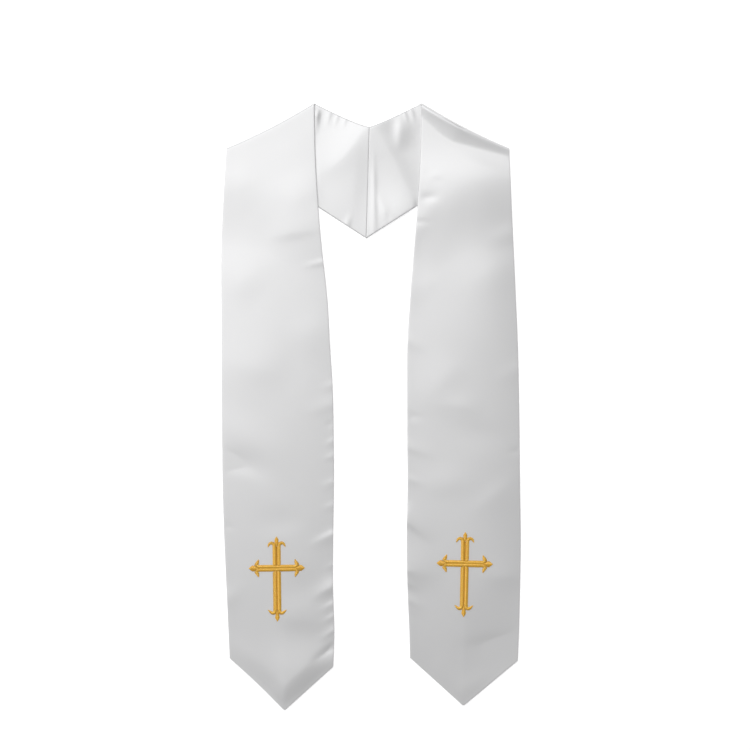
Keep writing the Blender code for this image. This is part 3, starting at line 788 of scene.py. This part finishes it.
def mesh_piece(name, verts, faces, finish, uvs=None, tones=None):
    """A smooth shaded piece, with a UV or a tone for each vertex where they are given."""
    mesh = bpy.data.meshes.new(name)
    mesh.from_pydata(verts.tolist(), [], faces)
    if uvs is not None:
        corner_verts = np.empty(len(mesh.loops), dtype=np.int32)
        mesh.loops.foreach_get("vertex_index", corner_verts)
        layer_uv = mesh.uv_layers.new(name="strip")
        layer_uv.data.foreach_set("uv", uvs[corner_verts].ravel())
    if tones is not None:
        attribute = mesh.attributes.new("tone", "FLOAT", "POINT")
        attribute.data.foreach_set("value", tones)
    mesh.materials.append(finish)
    mesh.shade_smooth()
    mesh.update()
    piece = bpy.data.objects.new(name, mesh)
    bpy.context.scene.collection.objects.link(piece)
    return piece


def smooth_line(points):
    """A smooth line through (along, out, width) points, with a place for every thread."""
    points = np.array(points, dtype=float)
    knots = np.concatenate([[0], np.cumsum(np.hypot(*np.diff(points[:, :2], axis=0).T))])
    at = np.linspace(0, knots[-1], round(knots[-1] / THREAD_PITCH) + 1)
    return np.stack([curve_through(list(zip(knots, p)), at) for p in points.T], axis=1)


def column_lines():
    """Every satin stitched column of the cross: its middle line as (right, up, width) and slant."""
    found = []
    for arm in CROSS_ARMS:
        turn, length, end = math.radians(arm["turn"]), arm["length"], ARM_ENDS[arm["end"]]
        axes = np.array([[math.cos(turn), math.sin(turn)], [-math.sin(turn), math.cos(turn)]])
        width = 2 * (arm["half"] - arm["middle"])
        stem = np.linspace(arm["start"], length - end["stem_back"], STEM_KNOTS)
        line = [(along, arm["middle"], width) for along in stem]
        line = smooth_line(line + [(length - back, o, w) for back, o, w in end["barb"]])
        for hand in (-1, 1):
            places = (line[:, :2] * (1, hand)) @ axes
            found.append((np.column_stack([places, line[:, 2]]), hand * THREAD_SLANT))
        bud = smooth_line([(length - back, 0.0, w) for back, w in end["bud"]])
        found.append((np.column_stack([bud[:, :2] @ axes, bud[:, 2]]), 0.0))
    return found


def cross_threads():
    """The cross's threads as (right, up, lift) rings, and a tone for each thread."""
    rings, tones = [], []
    steps = np.linspace(0, 1, THREAD_STEPS + 1)
    for place, slant in column_lines():
        lean = math.tan(slant)
        tangent = np.gradient(place[:, :2], axis=0)
        tangent /= np.linalg.norm(tangent, axis=1, keepdims=True)
        normal = np.stack([-tangent[:, 1], tangent[:, 0]], axis=1)
        for (right, up, width), t, n in zip(place, tangent, normal):
            reach = (n + t * lean) * width / 2
            flat = np.array([right, up]) + np.outer(2 * steps - 1, reach)
            high = STITCH_HEIGHT * min(1.0, NARROW_SHARE + width / WIDTH_SCALE)
            lift = high * np.sin(math.pi * steps) ** STITCH_ROUND - STITCH_SINK
            rings.append(thread_tube(np.column_stack([flat, lift])))
            tones.append((len(rings) * TONE_STEP) % 1.0)
    return rings, tones


def thread_tube(path):
    """Rings round a thread's path."""
    tangent = np.gradient(path, axis=0)
    tangent /= np.linalg.norm(tangent, axis=1, keepdims=True)
    side = np.cross(tangent, (0.0, 0.0, 1.0))
    side /= np.linalg.norm(side, axis=1, keepdims=True)
    over = np.cross(side, tangent)
    angles = np.linspace(0, 2 * math.pi, THREAD_SIDES, endpoint=False)
    return (
        path[:, None, :]
        + side[:, None, :] * (THREAD_HALF * np.cos(angles))[None, :, None]
        + over[:, None, :] * (THREAD_FLAT * THREAD_HALF * np.sin(angles))[None, :, None]
    )


def embroidery(half, finish):
    """The cross's threads, laid on the face of a front panel."""
    side = half.side
    rings, tones = cross_threads()
    local = np.concatenate([ring.reshape(-1, 3) for ring in rings])
    right, up, lift = local.T
    centre, turn = side["cross_centre"], side["cross_turn"]
    out = centre[0] + half.hand * (right * math.cos(turn) - up * math.sin(turn))
    down = centre[1] - right * math.sin(turn) - up * math.cos(turn)
    height = half.front_height(out, down) + FAR + lift
    verts = to_world(half, np.dstack([out, down, height]))[0]
    index = np.arange((THREAD_STEPS + 1) * THREAD_SIDES).reshape(-1, THREAD_SIDES)
    tube = quads(np.hstack([index, index[:, :1]])).tolist()
    tube += [index[0].tolist(), index[-1, ::-1].tolist()]
    faces = []
    for number in range(len(rings)):
        faces += [[v + number * index.size for v in face] for face in tube]
    per_vertex = np.repeat(np.array(tones, dtype=np.float32), index.size)
    return mesh_piece("cross_stitches_" + side["name"], verts, faces, finish, tones=per_vertex)


class Nodes:
    """A short way to build the nodes that feed a material's shader or the world's background."""

    def __init__(self, owner, last):
        owner.use_nodes = True
        self.tree = owner.node_tree
        self.last = self.tree.nodes[last]

    def give(self, socket, value):
        """Sets a socket to a value, or links it to another node's output."""
        if isinstance(value, bpy.types.NodeSocket):
            self.tree.links.new(value, socket)
        else:
            socket.default_value = value

    def add(self, kind, *values, **inputs):
        """A new node, with its first inputs given in order and others by name."""
        node = self.tree.nodes.new(kind)
        for socket, value in zip(node.inputs, values):
            self.give(socket, value)
        for key, value in inputs.items():
            self.give(node.inputs[key.replace("_", " ")], value)
        return node

    def feed(self, **inputs):
        """Gives the last node its inputs, by name."""
        for key, value in inputs.items():
            self.give(self.last.inputs[key.replace("_", " ")], value)

    def noise(self, place, scale, detail):
        """The value of a noise texture."""
        made = self.add("ShaderNodeTexNoise", Vector=place, Scale=scale, Detail=detail)
        return made.outputs["Fac"]

    def total(self, a, b):
        """The sum of two values."""
        return self.add("ShaderNodeMath", a, b).outputs["Value"]

    def ranged(self, value, **ends):
        """A value taken from one range to another."""
        return self.add("ShaderNodeMapRange", Value=value, **ends).outputs["Result"]

    def between(self, share, low, high):
        """A colour between two others."""
        ramp = self.add("ShaderNodeValToRGB", Fac=share)
        ramp.color_ramp.elements[0].color = low
        ramp.color_ramp.elements[1].color = high
        return ramp.outputs["Color"]

    def bump(self, height, strength, distance):
        """The normal of a bumpy surface."""
        made = self.add("ShaderNodeBump", Height=height, Strength=strength, Distance=distance)
        return made.outputs["Normal"]


def satin(name, colour):
    """Polyester satin: long floats along the strip, a soft directional sheen and faint slubs."""
    material = bpy.data.materials.new(name)
    made = Nodes(material, "Principled BSDF")
    strip = made.add("ShaderNodeUVMap")
    strip.uv_map = "strip"
    place = strip.outputs["UV"]
    floats = made.add("ShaderNodeMapping", Vector=place, Scale=FLOAT_SCALE)
    slubs = made.add("ShaderNodeMapping", Vector=place, Scale=SLUB_SCALE)
    weave = made.noise(floats.outputs["Vector"], 1.0, 2.0)
    height = made.total(made.noise(slubs.outputs["Vector"], 1.0, 3.0), weave)
    shade = made.add("ShaderNodeMix", Factor=1.0)
    shade.data_type = "RGBA"
    shade.blend_type = "MULTIPLY"
    tone = made.noise(place, TONE_SCALE, 2.0)
    made.give(shade.inputs["A"], (*colour, 1.0))
    made.give(
        shade.inputs["B"],
        made.ranged(tone, To_Min=1 - TONE_SPREAD, To_Max=1 + TONE_SPREAD),
    )
    tangent = made.add("ShaderNodeTangent")
    tangent.direction_type = "UV_MAP"
    tangent.uv_map = "strip"
    made.feed(
        Base_Color=shade.outputs["Result"],
        Roughness=made.ranged(
            weave,
            To_Min=SATIN_ROUGHNESS - ROUGHNESS_SPREAD,
            To_Max=SATIN_ROUGHNESS + ROUGHNESS_SPREAD,
        ),
        Metallic=SATIN_METALLIC,
        Anisotropic=SATIN_ANISOTROPIC,
        Tangent=tangent.outputs["Tangent"],
        Sheen_Weight=SATIN_SHEEN,
        Normal=made.bump(height, *WEAVE_BUMP),
    )
    return material


def gold_thread():
    """Rayon embroidery thread: a tone for each thread, and a fine twist along it."""
    material = bpy.data.materials.new("gold_thread_stitches")
    made = Nodes(material, "Principled BSDF")
    tone = made.add("ShaderNodeAttribute")
    tone.attribute_name = "tone"
    place = made.add("ShaderNodeTexCoord").outputs["Object"]
    made.feed(
        Base_Color=made.between(tone.outputs["Fac"], GOLD_DARK, GOLD_BRIGHT),
        Roughness=THREAD_ROUGHNESS,
        Metallic=THREAD_METALLIC,
        Coat_Weight=THREAD_COAT,
        Coat_Roughness=THREAD_COAT_ROUGHNESS,
        Sheen_Weight=THREAD_SHEEN,
        Normal=made.bump(made.noise(place, TWIST_SCALE, 1.0), *TWIST_BUMP),
    )
    return material


def floor_piece():
    """A plain pale table, just under the stole."""
    material = bpy.data.materials.new("pale_floor")
    made = Nodes(material, "Principled BSDF")
    place = made.add("ShaderNodeTexCoord").outputs["Object"]
    dark, light = ((tone, tone, tone, 1.0) for tone in FLOOR_TONES)
    made.feed(
        Base_Color=made.between(made.noise(place, FLOOR_GRAIN, 2.0), dark, light),
        Roughness=FLOOR_ROUGHNESS,
        Emission_Color=WHITE,
        Emission_Strength=FLOOR_GLOW,
    )
    corners = ((-1, -1), (1, -1), (1, 1), (-1, 1))
    verts = np.array([(FLOOR_REACH * x, FLOOR_REACH * y, FLOOR_LEVEL) for x, y in corners])
    piece = mesh_piece("floor", verts, [(0, 1, 2, 3)], material)


def key_light():
    """One large soft light, aimed at the stole's middle."""
    data = bpy.data.lights.new("key_softbox", "AREA")
    data.shape = "RECTANGLE"
    data.size, data.size_y = KEY_SIZE
    data.energy = KEY_POWER
    light = bpy.data.objects.new("key_softbox", data)
    light.location = KEY_PLACE
    light.rotation_euler = (-Vector(KEY_PLACE)).to_track_quat("-Z", "Y").to_euler()
    bpy.context.scene.collection.objects.link(light)


def room_light():
    """The light of a plain room, as the world's background."""
    world = bpy.data.worlds.new("studio")
    made = Nodes(world, "Background")
    sky = made.add("ShaderNodeTexCoord").outputs["Generated"]
    toward = made.add("ShaderNodeVectorMath", sky, ROOM_BRIGHT_SIDE)
    toward.operation = "DOT_PRODUCT"
    room = made.ranged(
        toward.outputs["Value"],
        From_Min=-ROOM_FADE,
        From_Max=ROOM_FADE,
        To_Min=ROOM_LIGHT[0],
        To_Max=ROOM_LIGHT[1],
    )
    walls = made.ranged(
        made.add("ShaderNodeSeparateXYZ", sky).outputs["Z"],
        From_Min=WALL_RISE[0],
        From_Max=WALL_RISE[1],
        To_Min=WALL_LIGHT,
        To_Max=0.0,
    )
    made.feed(Color=WHITE, Strength=made.total(room, walls))
    bpy.context.scene.world = world


def camera():
    """The camera, which looks straight down on the stole."""
    data = bpy.data.cameras.new("camera")
    data.lens = CAMERA_LENS
    data.sensor_width = CAMERA_SENSOR
    data.clip_end = CAMERA_REACH
    eye = bpy.data.objects.new("camera", data)
    eye.location = (*CAMERA_AT, CAMERA_HEIGHT)
    bpy.context.scene.collection.objects.link(eye)
    bpy.context.scene.camera = eye


def main():
    """Loads the frame, dresses both halves, and sets up the table, the light, the room and the
    camera.
    """
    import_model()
    bpy.context.scene.view_settings.view_transform = "Standard"
    face_satin = satin("satin_face", SATIN_WHITE)
    lining_satin = satin("satin_lining", LINING_WHITE)
    gold = gold_thread()
    for side in (LEFT, RIGHT):
        half = HalfStole(side)
        name = side["name"]
        face = shell("satin_" + name, half, FACE_EDGE, 0.0, 1, face_satin)
        lining = shell("lining_cloth_" + name, half, LINING_EDGE, LINING_INSET, -1, lining_satin)
        cross = embroidery(half, gold)
        for piece, node, slot in (
            (face, "face_", "satin"),
            (lining, "lining_", "lining_satin"),
            (cross, "cross_", "gold_thread"),
        ):
            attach(piece, "root")
            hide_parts(node + name)
    floor_piece()
    key_light()
    room_light()
    camera()


main()
